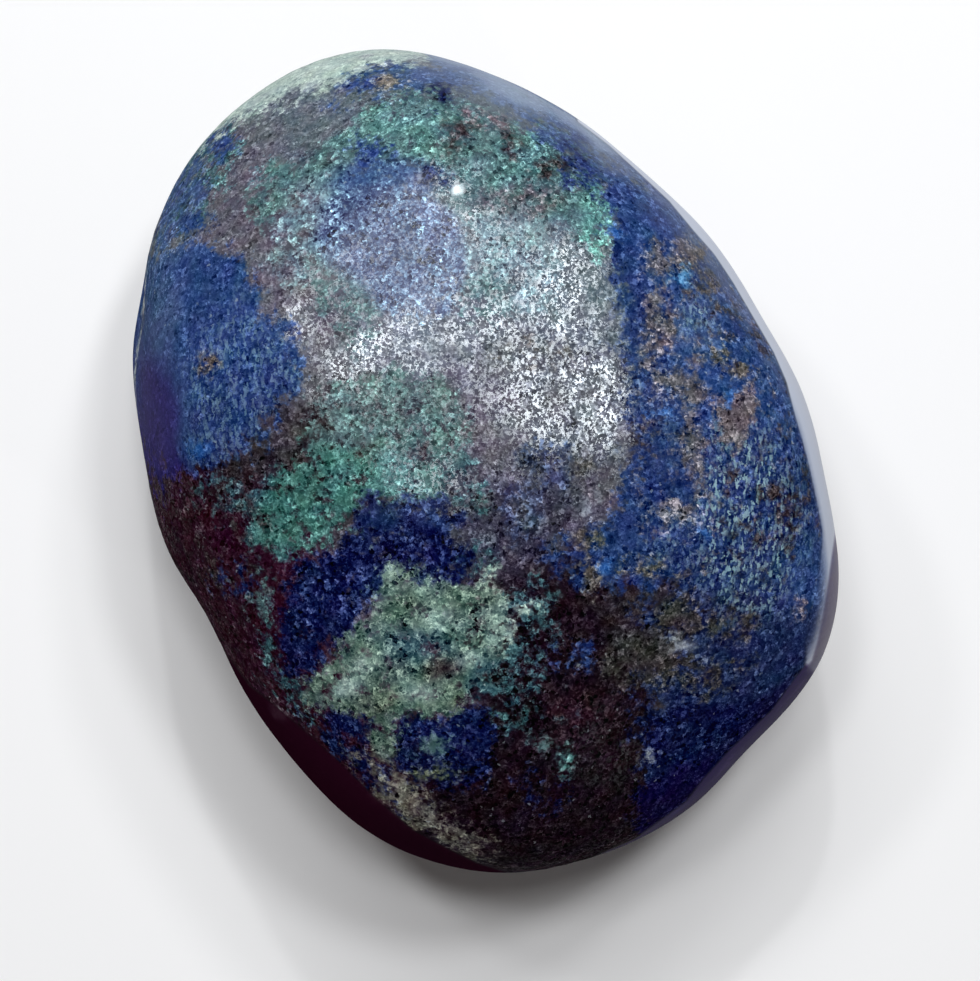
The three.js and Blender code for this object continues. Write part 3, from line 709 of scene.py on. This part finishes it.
def area_inside(picture, corners):
    """How far inside an outline each place of the picture is, in millimetres; outside is less than 0."""
    nearest = np.full(len(picture), 99.0)
    crossings = np.zeros(len(picture), bool)
    for start, end in zip(corners, corners[1:] + corners[:1]):
        start = np.array(start)
        along = np.array(end) - start
        apart = picture - start
        share = np.clip(apart @ along / (along @ along), 0, 1)
        nearest = np.minimum(nearest, np.linalg.norm(apart - share[:, None] * along, axis=1))
        above = (picture[:, 1] >= start[1]) != (picture[:, 1] >= end[1])
        if abs(along[1]) > 1e-9:
            crossing = start[0] + along[0] * (picture[:, 1] - start[1]) / along[1]
            crossings ^= above & (picture[:, 0] < crossing)
    return np.where(crossings, nearest, -nearest)


def patch_inside(picture, right, up, half_width, half_height, turn=0):
    """How far inside an ellipse each place of the picture is, in millimetres."""
    apart = picture - np.array((right, up))
    angle = math.radians(turn)
    across = apart[:, 0] * math.cos(angle) + apart[:, 1] * math.sin(angle)
    along = -apart[:, 0] * math.sin(angle) + apart[:, 1] * math.cos(angle)
    reach = np.sqrt((across / half_width) ** 2 + (along / half_height) ** 2)
    return (1 - reach) * min(half_width, half_height)


def round_patch(places, middle, normal, half_width, half_height):
    """The same for a patch on a side or the back, measured round the stone and up it."""
    apart = (places - middle) / MM
    around = np.cross((0, 0, 1), normal)
    around = around / max(1e-6, np.linalg.norm(around))
    upward = np.cross(normal, around)
    across = apart @ around
    along = apart @ upward
    through = apart @ normal
    reach = np.sqrt((across / half_width) ** 2 + (along / half_height) ** 2 + (through / PATCH_DEPTH) ** 2)
    return (1 - reach) * min(half_width, half_height)


def blended(colours, weights):
    """Each place's colour as the mean of the patches' colours by weight."""
    total = weights.sum(axis=0)
    return (weights.T @ np.array(colours)) / total[:, None]


def layer_patches(layer, towards, picture, places, under):
    """How far inside each area and patch of a layer each place is, and the patches' colours."""
    found = []
    for kind, colour, cover, corners in FRONT_AREAS.values():
        if kind == layer:
            found.append((area_inside(picture, corners) - under, cover, colour))
    for colour, *ellipse, cover in FRONT_PATCHES[layer]:
        found.append((patch_inside(picture, *ellipse) - under, cover, colour))
    for colour, azimuth, elevation, *halves, cover in ROUND_PATCHES[layer]:
        found.append((round_patch(places, *towards(azimuth, elevation), *halves), cover, colour))
    insides = np.array([np.minimum(inside, cover) for inside, cover, _ in found])
    return insides, [COLOURS[colour] for _, _, colour in found]


def place_minerals(stone, shape):
    """The minerals as attributes of the mesh: for each layer how far inside it a place is, and its colour."""
    towards = surface_finder(stone)
    exact = vertex_places(stone)
    far = strayed(exact, shape.wander)
    near_picture = seen_from_above(strayed(exact, shape.wander * FRONT_STRAYING))
    far_picture = seen_from_above(far)
    under = below_girdle(far)
    fields = {}
    colours = {}
    for layer in LAYERS:
        insides, tones = layer_patches(layer, towards, near_picture, far, under)
        fields[layer] = np.maximum(insides.max(axis=0), -2.0)
        # a small patch that lies in a large one shows in its own colour
        gain = np.arange(len(insides))[:, None] * PATCH_GAIN
        colours[layer] = blended(tones, np.exp((np.maximum(insides, -6) + gain) / PATCH_BLEND))
    tones = [COLOURS["taupe"]]
    weights = [np.full(len(exact), 0.05)]
    for colour, *ellipse in FRONT_GROUNDS:
        inside = patch_inside(far_picture, *ellipse) - under
        tones.append(COLOURS[colour])
        weights.append(np.exp(np.clip(inside, -4, 1) / GROUND_BLEND))
    colours["ground"] = blended(tones, np.array(weights))
    fibres = np.zeros(len(exact))
    for *ellipse, strength in FIBRE_ZONES:
        inside = patch_inside(far_picture, *ellipse) - under
        fibres = np.maximum(fibres, strength * smooth_step(inside, -0.5, 0.9))
    return fields, colours, fibres


def place_polish(stone, shape):
    """How the polish changes over the stone: its strength, the smooth bevels, the glassy spot and
    the bevels' painted reflection and shade colour with its share."""
    exact = vertex_places(stone)
    far = strayed(exact, shape.wander)
    picture = seen_from_above(exact)
    drifted = seen_from_above(far)
    under = below_girdle(exact)
    polish = np.full(len(exact), POLISH_LEVEL)
    rim = np.zeros((len(exact), 4))
    for *ellipse, strength in POLISH_ZONES:
        share = smooth_step(patch_inside(drifted, *ellipse) - under, -0.5, 0.7)
        polish += (strength - polish) * share
    smooth = np.zeros(len(exact))
    above = smooth_step(far[:, 2] / MM, GIRDLE_MM - BEVEL_FADE[0], GIRDLE_MM - BEVEL_FADE[1])
    for colour, colour_share, strength, corners in PAINTED_RIM_BEVELS:
        share = smooth_step(area_inside(picture, corners), -0.05, 0.06) * above
        polish += (strength - polish) * share
        smooth = np.maximum(smooth, share)
        # each bevel's painted reflection and shade colour, with its share
        tone = np.array([*COLOURS[colour][:3], colour_share])
        rim += (tone - rim) * share[:, None]
    for right, up, half_width, half_height, turn, strength, calm in CALM_ZONES:
        inside = patch_inside(drifted, right, up, half_width, half_height, turn) - under
        reach = min(0.6, half_height)
        share = smooth_step(inside, -reach, reach) * (1 - smooth)
        polish += (strength - polish) * share
        smooth = np.maximum(smooth, calm * share)
    right, up, radius = GLASSY_SPOT
    glassy = smooth_step(patch_inside(picture, right, up, radius, radius) - under, -0.06, 0.06)
    return polish, smooth, glassy, rim


def relief_shares(fields, broken, smooth, glassy):
    """How much of the finest relief each place has: grainy minerals more, azurite and bevels less."""
    relief = np.full(len(broken), RELIEF["ground"])
    for layer in LAYERS:
        relief += (RELIEF[layer] - relief) * smooth_step(fields[layer], -BORDER, BORDER)
    return (relief + 2.0 * broken) * (1 - np.maximum(smooth, glassy))


def broken_places(stone):
    """How much of the polish is broken off at each place, from 0 to 1."""
    towards = surface_finder(stone)
    places = vertex_places(stone)
    ragged = np.array([noise.noise(Vector(place) / (0.6 * MM)) for place in places])
    broken = np.zeros(len(places))
    for azimuth, elevation, radius in CHIPS:
        middle, _ = towards(azimuth, elevation)
        apart = np.linalg.norm(places - middle, axis=1) / (radius * MM)
        broken = np.maximum(broken, 1 - smooth_step(apart + 0.5 * ragged, 0.62, 0.95))
    return broken


def write_attribute(mesh, name, values):
    """Keeps one value, or one colour, for each vertex of the mesh."""
    kind, field = ("FLOAT", "value") if values.ndim == 1 else ("FLOAT_COLOR", "color")
    attribute = mesh.attributes.new(name, kind, "POINT")
    attribute.data.foreach_set(field, values.astype(np.float32).ravel())


# Small helpers for shader nodes

class NodeBoard:
    """Adds and links nodes in a material's tree or a group's tree."""

    def __init__(self, tree):
        self.tree = tree

    def node(self, kind, inputs=None, **settings):
        made = self.tree.nodes.new(kind)
        for name, value in settings.items():
            setattr(made, name, value)
        self.fill(made, inputs or {})
        return made

    def feed(self, socket, value):
        if isinstance(value, bpy.types.NodeSocket):
            self.tree.links.new(value, socket)
        else:
            socket.default_value = value

    def fill(self, made, values):
        for name, value in values.items():
            self.feed(made.inputs[name], value)

    def math(self, operation, first, second=0.0, third=0.0, clamp=False):
        terms = {0: first, 1: second, 2: third}
        return self.node("ShaderNodeMath", terms, operation=operation, use_clamp=clamp).outputs[0]

    def times(self, first, second):
        return self.math("MULTIPLY", first, second)

    def minus(self, first, second):
        return self.math("SUBTRACT", first, second)

    def times_plus(self, first, second, third):
        return self.math("MULTIPLY_ADD", first, second, third)

    def mix(self, factor, first, second):
        made = self.node("ShaderNodeMix", data_type="RGBA")
        self.feed(made.inputs["Factor"], factor)
        self.feed(made.inputs[6], first)
        self.feed(made.inputs[7], second)
        return made.outputs[2]

    def spread(self, value, low, high, to_low=0.0, to_high=1.0):
        made = self.node(
            "ShaderNodeMapRange",
            {"Value": value, "From Min": low, "From Max": high, "To Min": to_low, "To Max": to_high},
            interpolation_type="SMOOTHSTEP",
        )
        return made.outputs["Result"]

    def vector(self, operation, first, second):
        terms = {0: first, 1: second}
        return self.node("ShaderNodeVectorMath", terms, operation=operation).outputs["Vector"]

    def noise(self, position, scale, detail, roughness=0.5, output="Color"):
        settings = {"Vector": position, "Scale": scale, "Detail": detail, "Roughness": roughness}
        return self.node("ShaderNodeTexNoise", settings).outputs[output]

    def cells(self, position, scale, output="Color", **settings):
        made = self.node("ShaderNodeTexVoronoi", {"Vector": position, "Scale": scale}, **settings)
        return made.outputs[output]

    def parts(self, colour):
        return self.node("ShaderNodeSeparateColor", {"Color": colour}).outputs

    def attribute(self, name, output="Fac"):
        return self.node("ShaderNodeAttribute", attribute_name=name).outputs[output]


def start_group(name, inputs, outputs):
    """A new shader node group with its sockets, its board and its two end nodes."""
    group = bpy.data.node_groups.new(name, "ShaderNodeTree")
    kinds = {"value": "NodeSocketFloat", "colour": "NodeSocketColor", "vector": "NodeSocketVector"}
    for socket_name, kind, default in inputs:
        socket = group.interface.new_socket(socket_name, in_out="INPUT", socket_type=kinds[kind])
        if default is not None:
            socket.default_value = default
    for socket_name, kind in outputs:
        group.interface.new_socket(socket_name, in_out="OUTPUT", socket_type=kinds[kind])
    board = NodeBoard(group)
    given = board.node("NodeGroupInput").outputs
    result = board.node("NodeGroupOutput").inputs
    return group, board, given, result


# How fine the grain's patterns are: waves or cells for each millimetre
CLUSTER_SCALE = 0.75
HUE_SCALE = 1.3
BORDER_SCALE = 1.6
CRUMB_SCALE = 2.4
SOFT_SCALE = 2.6
LUMP_SCALE = 6.2
SHARP_SCALE = 9.5
FLAKE_SCALE = 10.5
GRAIN_SCALE = 12.0
FIBRE_SCALE = 12.5


def grains_group():
    """The stone's crumbly grain as values over the surface, shared by all its minerals.

    The lumps are about 0.15 mm across. Some have a pit in the middle with a light rim round it.
    """
    group, board, given, result = start_group(
        "Grains",
        [("Position", "vector", None)],
        [
            ("Tone", "value"), ("Coarse tone", "value"), ("Light grains", "value"), ("Dark grains", "value"),
            ("Net", "value"), ("Tops", "value"), ("Ripple", "value"), ("Crumble", "vector"),
            ("Specks", "value"), ("Bent", "vector"),
        ],
    )
    position = given["Position"]
    parts = board.parts

    def centred(colour, share):
        away = board.vector("SUBTRACT", colour, (0.5, 0.5, 0.5))
        return board.vector("MULTIPLY", away, (share, share, share))

    def added(*shares):
        """The sum of values about their middle, each with its share."""
        total = 0.0
        for value, share in shares:
            total = board.times_plus(board.minus(value, 0.5), share, total)
        return total

    crumb = board.noise(position, SOFT_SCALE, 3.0, 0.9)
    fine = board.noise(position, SHARP_SCALE, 1.5, 0.75)
    bent = board.vector("ADD", board.vector("ADD", position, centred(fine, 0.14)), centred(crumb, 0.22))
    board.feed(result["Bent"], bent)
    lump = board.cells(bent, LUMP_SCALE)
    to_edge = board.cells(bent, LUMP_SCALE, "Distance", feature="DISTANCE_TO_EDGE")
    grains = board.cells(bent, GRAIN_SCALE)
    crumbs = board.cells(bent, CRUMB_SCALE)
    soft, sharp = parts(crumb), parts(fine)
    lumps, small, large = parts(lump), parts(grains), parts(crumbs)

    # the grain is crisp in some places and faint in others, and light and dark grains come in clusters
    clusters = parts(board.noise(position, CLUSTER_SCALE, 2.0, 0.6))
    lively = board.spread(clusters[2], 0.4, 0.58, 0.8, 1.2)
    tone = added((sharp[0], 3.0), (lumps[0], 1.1), (small[0], 1.8), (soft[0], 0.9))
    board.feed(result["Tone"], board.times(tone, lively))
    board.feed(result["Coarse tone"], added((large[0], 0.8), (soft[1], 2.4), (lumps[2], 0.5)))
    cluster = board.spread(clusters[0], 0.44, 0.58, 0.5, 1.25)
    facet = board.times(board.spread(lumps[1], 0.76, 0.8), board.spread(small[0], -0.6, 0.9))
    board.feed(result["Light grains"], board.times(facet, cluster))
    rimmed = board.spread(lumps[2], 0.68, 0.73)
    pit = board.times(rimmed, board.spread(to_edge, 0.12, 0.3))
    hole = board.times(board.spread(lumps[0], 0.13, 0.16, 1.0, 0.0), board.spread(to_edge, 0.0, 0.12))
    holes = board.spread(clusters[1], 0.42, 0.58, 0.5, 1.2)
    pit = board.times(board.math("MAXIMUM", pit, hole), holes)
    board.feed(result["Dark grains"], board.times(pit, board.spread(small[2], -0.2, 0.6)))
    arc = board.spread(sharp[1], 0.46, 0.56)
    line = board.times(board.spread(to_edge, 0.04, 0.18, 1.0, 0.0), arc)
    board.feed(result["Net"], board.times(line, rimmed))
    drawn_out = board.vector("MULTIPLY", bent, (1.0, 0.6, 1.0))
    flakes = parts(board.cells(drawn_out, FLAKE_SCALE))
    flake = board.spread(board.math("ADD", flakes[1], added((sharp[1], 1.1))), 0.77, 0.82)
    tops = board.math("MAXIMUM", flake, board.times(line, board.spread(lumps[2], 0.2, 0.3)))
    tops = board.times(tops, board.spread(large[2], -0.3, 0.5))
    board.feed(result["Tops"], board.times_plus(tops, 0.95, 0.05))
    board.feed(result["Ripple"], sharp[2])
    drift = board.vector("ADD", centred(lump, 0.35), centred(crumbs, 0.3))
    board.feed(result["Crumble"], board.vector("ADD", drift, centred(grains, 0.15)))
    board.feed(result["Specks"], board.spread(small[1], 0.996, 0.998))
    return group


def ragged_edge_group():
    """Breaks up a mineral's border: it runs in and out, and whole grains near it change sides."""
    group, board, given, result = start_group(
        "Ragged edge",
        [
            ("Inside", "value", 0.0), ("Position", "vector", None), ("Offset", "vector", (0, 0, 0)),
            ("Crumble", "value", 0.0), ("Raggedness", "value", 1.0), ("Softness", "value", 0.28),
        ],
        [("Mask", "value")],
    )
    position = board.vector("ADD", given["Position"], given["Offset"])
    drift = board.noise(position, BORDER_SCALE, 2.5, 0.8, "Fac")
    drift = board.times_plus(board.minus(drift, 0.5), 1.9, given["Crumble"])
    inside = board.times_plus(drift, given["Raggedness"], given["Inside"])
    low = board.times(given["Softness"], -1.0)
    board.feed(result["Mask"], board.spread(inside, low, given["Softness"]))
    return group


# What the grain gives each mineral, and the sockets that say how strongly the mineral takes it
GRAIN_VALUES = ("Tone", "Coarse tone", "Light grains", "Dark grains", "Net")
GRAIN_STRENGTHS = ("Contrast", "Coarse contrast", "Lift", "Net lift", "Drop")


def mineral_group():
    """Lays one mineral over what is below it, with its light and dark grains."""
    group, board, given, result = start_group(
        "Mineral",
        [
            ("Below", "colour", None), ("Mask", "value", 0.0), ("Colour", "colour", None),
            *((name, "value", 0.1) for name in GRAIN_STRENGTHS),
            *((name, "value", 0.0) for name in GRAIN_VALUES),
            ("Strength", "value", 1.0), ("Tint", "vector", (1, 1, 1)),
        ],
        [("Colour", "colour")],
    )
    # light grains stand out more than dark ones
    tone = board.minus(board.math("POWER", 2.0, given["Tone"]), 1.12)
    swing = board.times(tone, given["Contrast"])
    pairs = (("Coarse tone", "Coarse contrast"), ("Light grains", "Lift"), ("Net", "Net lift"))
    for grains, strength in pairs:
        swing = board.times_plus(given[grains], given[strength], swing)
    swing = board.minus(swing, board.times(given["Dark grains"], given["Drop"]))
    swing = board.times(swing, given["Strength"])
    toned = board.vector("ADD", given["Colour"], board.vector("MULTIPLY", given["Tint"], swing))
    board.feed(result["Colour"], board.mix(given["Mask"], given["Below"], toned))
    return group


# How each layer is grained, as shares of full brightness: fine and coarse contrast, how much its
# light grains and its net stand out and how much its pits drop
GRAINING = {
    "ground": (0.10, 0.06, 0.15, 0.12, 0.12),
    "shattuckite": (0.125, 0.07, 0.16, 0.13, 0.14),
    "azurite": (0.105, 0.05, 0.16, 0.06, 0.10),
    "pale": (0.11, 0.17, 0.18, 0.11, 0.22),
    "tan": (0.13, 0.08, 0.17, 0.17, 0.17),
    "spot": (0.10, 0.06, 0.12, 0.08, 0.12),
}

# The hue of the light and dark grains
GRAIN_TINTS = {
    "ground": (1.0, 1.0, 1.0),
    "shattuckite": (0.9, 1.1, 1.03),
    "azurite": (0.92, 1.0, 1.12),
    "pale": (1.04, 1.06, 0.92),
    "tan": (1.05, 0.99, 0.98),
    "spot": (1.0, 1.0, 1.0),
}

# How ragged each layer's border is, its roughness, how well it takes the polish and its finest relief
RAGGEDNESS = {"shattuckite": 1.0, "azurite": 0.9, "pale": 0.9, "tan": 0.8, "spot": 0.7}
ROUGHNESS = {"ground": 0.45, "shattuckite": 0.45, "azurite": 0.56, "pale": 0.5, "tan": 0.45, "spot": 0.4}
GLOSS = {"ground": 1.0, "shattuckite": 0.8, "azurite": 0.12, "pale": 0.5, "tan": 0.4, "spot": 0.3}
RELIEF = {"ground": 1.0, "shattuckite": 0.85, "azurite": 0.2, "pale": 0.8, "tan": 0.8, "spot": 0.4}


def lay_minerals(board, position, grains, smooth, lively):
    """The ground and the layers over it: their colour, their roughness and how well they take the polish."""
    edge = ragged_edge_group()
    mineral = mineral_group()
    crumble = board.node("ShaderNodeSeparateXYZ", {"Vector": grains["Crumble"]}).outputs

    def layer_colour(name, below, mask):
        made = board.node("ShaderNodeGroup", node_tree=mineral)
        tone = board.node("ShaderNodeAttribute", attribute_name=name + "_colour").outputs
        values = {
            "Below": below, "Mask": mask, "Colour": tone["Color"], "Tint": GRAIN_TINTS[name],
            "Strength": board.times(tone["Alpha"], lively),
            **dict(zip(GRAIN_STRENGTHS, GRAINING[name])),
        }
        for shared in GRAIN_VALUES:
            values[shared] = grains[shared]
        board.fill(made, values)
        return made.outputs["Colour"]

    colour = layer_colour("ground", (0, 0, 0, 1), 1.0)
    roughness = ROUGHNESS["ground"]
    gloss = GLOSS["ground"]
    for index, name in enumerate(LAYERS):
        made = board.node("ShaderNodeGroup", node_tree=edge)
        values = {
            "Inside": board.attribute(name), "Position": position,
            "Offset": (index * 17.3 + 5.1, index * 9.7, index * 4.9),
            "Crumble": crumble[index % 3],
            "Raggedness": board.times_plus(smooth, -0.7 * RAGGEDNESS[name], RAGGEDNESS[name]),
        }
        board.fill(made, values)
        mask = made.outputs["Mask"]
        colour = layer_colour(name, colour, mask)
        roughness = board.times_plus(mask, board.minus(ROUGHNESS[name], roughness), roughness)
        gloss = board.times_plus(mask, board.minus(GLOSS[name], gloss), gloss)
        if name == "azurite":
            # light fibres, drawn out up the stone, lie in the azurite
            stretched = board.node("ShaderNodeMapping", {"Vector": grains["Bent"], "Scale": (1, 0.42, 1)})
            cells = board.cells(stretched.outputs["Vector"], FIBRE_SCALE)
            fibre = board.spread(board.parts(cells)[1], 0.5, 0.98)
            amount = board.times(board.times(fibre, board.attribute("fibres")), mask)
            colour = board.mix(amount, colour, COLOURS["fibre"])
    return colour, roughness, gloss


def stone_material(polish):
    material = bpy.data.materials.new("polished azurite and shattuckite")
    material.use_nodes = True
    tree = material.node_tree
    tree.nodes.clear()
    board = NodeBoard(tree)
    place = board.node("ShaderNodeTexCoord").outputs["Object"]
    in_millimetres = board.node("ShaderNodeMapping", {"Vector": place, "Scale": (1000, 1000, 1000)})
    position = in_millimetres.outputs["Vector"]
    grains = board.node("ShaderNodeGroup", {"Position": position}, node_tree=grains_group()).outputs
    smooth = board.attribute("smooth")
    # the bevels look plain, and show their painted reflection and shade colours, at a grazing look only
    facing = board.node("ShaderNodeLayerWeight", {"Blend": 0.5}).outputs["Facing"]
    grazing = board.spread(board.times_plus(board.attribute("polish"), -0.5, facing), 0.15, 0.45)
    painted_bevel = board.math("MULTIPLY", board.attribute("painted_rim_share"), 1.6, clamp=True)
    seen = board.minus(1.0, board.times(painted_bevel, board.minus(1.0, grazing)))
    calm = board.times(smooth, seen)
    lively = board.times_plus(calm, -0.75, 1.0)
    colour, roughness, gloss = lay_minerals(board, position, grains, smooth, lively)

    broken = board.attribute("broken")
    glassy = board.attribute("glassy")
    plain = board.minus(1.0, board.math("MAXIMUM", broken, smooth))
    specks = board.times(board.times(grains["Specks"], plain), 0.5)
    colour = board.mix(specks, colour, COLOURS["speck"])
    # the bevels' painted reflection and shade colour, mixed in at a grazing look
    painted_rim_amount = board.times(board.attribute("painted_rim_share"), grazing)
    colour = board.mix(painted_rim_amount, colour, board.attribute("painted_rim_colour", "Color"))
    colour = board.mix(board.times(broken, 0.3), colour, COLOURS["fresh break"])
    roughness = board.math("ADD", roughness, board.times(broken, 0.35))
    # the polish sits on the grains' tops and is broken by the pits between them; a bevel has no pits
    tops = board.times(gloss, grains["Tops"])
    tops = board.times_plus(calm, board.minus(1.0, tops), tops)
    gloss = board.times(board.times(tops, board.attribute("polish")), polish.coat)
    gloss = board.times(gloss, board.minus(1.0, broken))
    gloss = board.math("MAXIMUM", gloss, glassy)
    height = board.times(grains["Ripple"], board.attribute("relief"))
    height = board.times(height, polish.ripple_height)

    # the hue changes slowly over the stone
    drift = board.vector("SUBTRACT", board.noise(position, HUE_SCALE, 1.0), (0.5, 0.5, 0.5))
    amount = board.times_plus(smooth, -polish.hue_drift, polish.hue_drift)
    colour = board.vector("ADD", colour, board.vector("MULTIPLY", drift, amount))
    # from the screen's scale to a linear one
    colour = board.vector("ADD", board.vector("MAXIMUM", colour, (0, 0, 0)), (SCREEN_LIFT,) * 3)
    colour = board.vector("DIVIDE", colour, (1 + SCREEN_LIFT,) * 3)
    colour = board.node("ShaderNodeGamma", {"Color": colour, "Gamma": SCREEN_GAMMA}).outputs["Color"]
    bump = board.node("ShaderNodeBump", {"Strength": 1.0, "Distance": 0.001, "Height": height})
    shader = board.node("ShaderNodeBsdfPrincipled", {
        "Base Color": colour, "Roughness": roughness, "Normal": bump.outputs["Normal"], "IOR": 1.45,
        "Specular IOR Level": 0.0, "Coat Weight": gloss, "Coat Roughness": polish.coat_roughness,
        "Coat IOR": 2.0,
    })
    board.node("ShaderNodeOutputMaterial", {"Surface": shader.outputs["BSDF"]})
    return material


# The studio

def camera_place():
    settings = bpy.context.scene.stone_stage
    across = PICTURE_HEIGHT * PIXEL_MM * MM
    distance = across * settings.lens / SENSOR_MM
    right = (FRONT_MIDDLE_MM[0] + PICTURE_MIDDLE_MM[0]) * MM
    up = (FRONT_MIDDLE_MM[1] + PICTURE_MIDDLE_MM[1]) * MM
    return Vector((right, up, GIRDLE_MM * MM + distance))


def aim(thing, target):
    way = Vector(target) - thing.location
    thing.rotation_euler = way.to_track_quat("-Z", "Y").to_euler()


def add_light(name, azimuth, elevation, distance, size, power, colour):
    """A round area light that looks at the stone from a direction given in degrees."""
    bpy.ops.object.light_add(type="AREA", location=direction(azimuth, elevation) * distance)
    light = bpy.context.object
    light.name = name
    light.data.shape = "DISK"
    light.data.size = size
    light.data.energy = power
    light.data.color = colour
    light.visible_camera = False
    aim(light, (0, 0, GIRDLE_MM * MM))


def make_floor(settings):
    """A round floor that turns up into a low wall, drawn out from one circle step by step."""
    deselect_all()
    bpy.ops.mesh.primitive_circle_add(vertices=96, radius=settings.floor_radius, fill_type="NOTHING")
    floor = bpy.context.object
    floor.name = "floor"
    bpy.ops.object.mode_set(mode="EDIT")
    bpy.ops.mesh.select_all(action="SELECT")
    rings = []
    for step in range(1, COVE_STEPS + 1):
        angle = math.pi / 2 * step / COVE_STEPS
        rings.append((settings.floor_radius + COVE * math.sin(angle), COVE * (1 - math.cos(angle))))
    rings.append((settings.floor_radius + COVE, settings.wall_height))
    radius = settings.floor_radius
    height = 0.0
    for ring_radius, ring_height in rings:
        bpy.ops.mesh.extrude_region_move(TRANSFORM_OT_translate={"value": (0, 0, ring_height - height)})
        growth = ring_radius / radius
        bpy.ops.transform.resize(value=(growth, growth, 1))
        radius = ring_radius
        height = ring_height
    bpy.ops.object.mode_set(mode="OBJECT")
    for corner in floor.data.vertices:
        corner.select = corner.co.z < 1e-6
    for edge in floor.data.edges:
        edge.select = all(floor.data.vertices[index].select for index in edge.vertices)
    for face in floor.data.polygons:
        face.select = False
    bpy.ops.object.mode_set(mode="EDIT")
    bpy.ops.mesh.edge_face_add()
    bpy.ops.mesh.inset(thickness=0.001)
    bpy.ops.mesh.select_all(action="SELECT")
    bpy.ops.mesh.normals_make_consistent(inside=True)
    bpy.ops.object.mode_set(mode="OBJECT")
    bpy.ops.object.shade_smooth()
    return floor


class STONE_OT_make_stone(bpy.types.Operator):
    """Models the stone, places its minerals and gives it its polish"""

    bl_idname = "stone.make_stone"
    bl_label = "Make the stone"

    def execute(self, context):
        shape = context.scene.stone_shape
        stone = make_body(shape)
        fields, colours, fibres = place_minerals(stone, shape)
        broken = broken_places(stone)
        polish, smooth, glassy, rim = place_polish(stone, shape)
        plain = [smooth_step(fields[layer], -BORDER, BORDER) for layer in ("azurite", "spot")]
        covered = np.maximum.reduce([*plain, smooth, glassy])
        add_relief(stone, shape, (1 - covered) * (1 - broken), broken)
        attributes = {
            **fields, **{name + "_colour": tones for name, tones in colours.items()},
            "fibres": fibres, "broken": broken, "polish": polish, "smooth": smooth, "glassy": glassy,
            "painted_rim_share": smooth * rim[:, 3], "relief": relief_shares(fields, broken, smooth, glassy),
            "painted_rim_colour": np.column_stack([rim[:, :3], np.ones(len(rim))]),
        }
        for name, values in attributes.items():
            write_attribute(stone.data, name, values)
        make_active(stone)
        bpy.ops.object.shade_smooth()
        stone.data.materials.append(stone_material(context.scene.stone_polish))
        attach(stone, "root")
        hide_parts(NODE)
        return {"FINISHED"}


class STONE_OT_make_stage(bpy.types.Operator):
    """Makes the pale floor, the soft lights and the camera"""

    bl_idname = "stone.make_stage"
    bl_label = "Make the studio"

    def execute(self, context):
        settings = context.scene.stone_stage
        floor = make_floor(settings)
        material = bpy.data.materials.new("plain floor")
        material.use_nodes = True
        shader = material.node_tree.nodes["Principled BSDF"]
        shader.inputs["Base Color"].default_value = (*settings.floor_colour, 1)
        shader.inputs["Roughness"].default_value = 0.9
        shader.inputs["Specular IOR Level"].default_value = 0.2
        floor.data.materials.append(material)
        floor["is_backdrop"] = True

        for *where, power in LAMPS:
            add_light(*where, power * settings.lamp_power, settings.lamp_colour)

        world = bpy.data.worlds.new("studio")
        world.use_nodes = True
        world.node_tree.nodes["Background"].inputs["Color"].default_value = (1, 1, 1, 1)
        world.node_tree.nodes["Background"].inputs["Strength"].default_value = settings.sky
        context.scene.world = world
        context.scene.view_settings.view_transform = "Standard"

        bpy.ops.object.camera_add(location=camera_place(), rotation=(0, 0, 0))
        camera = bpy.context.object
        camera.name = "camera"
        camera.data.lens = settings.lens
        camera.data.sensor_width = SENSOR_MM
        camera.data.clip_start = 0.001
        context.scene.camera = camera
        return {"FINISHED"}


class STONE_PT_panel(bpy.types.Panel):
    """Lists the stone's settings and steps"""

    bl_label = "Stone"
    bl_idname = "STONE_PT_panel"
    bl_space_type = "VIEW_3D"
    bl_region_type = "UI"
    bl_category = "Stone"

    def draw(self, context):
        layout = self.layout
        for group in (context.scene.stone_shape, context.scene.stone_polish, context.scene.stone_stage):
            box = layout.box()
            for name in group.__annotations__:
                box.prop(group, name)
        layout.operator(STONE_OT_make_stone.bl_idname)
        layout.operator(STONE_OT_make_stage.bl_idname)


CLASSES = (
    StoneShape, StonePolish, StageSettings,
    STONE_OT_make_stone, STONE_OT_make_stage, STONE_PT_panel,
)


def register():
    for each in CLASSES:
        bpy.utils.register_class(each)
    bpy.types.Scene.stone_shape = PointerProperty(type=StoneShape)
    bpy.types.Scene.stone_polish = PointerProperty(type=StonePolish)
    bpy.types.Scene.stone_stage = PointerProperty(type=StageSettings)


def unregister():
    del bpy.types.Scene.stone_stage
    del bpy.types.Scene.stone_polish
    del bpy.types.Scene.stone_shape
    for each in reversed(CLASSES):
        bpy.utils.unregister_class(each)


def main():
    register()
    bpy.ops.stone.make_stone()
    bpy.ops.stone.make_stage()
    low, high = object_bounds()
    sizes = {
        "cad_box": [list(CAD_BOUNDS[0]), list(CAD_BOUNDS[1])],
        "visual_box": [list(low), list(high)],
    }


if __name__ == "__main__":
    main()
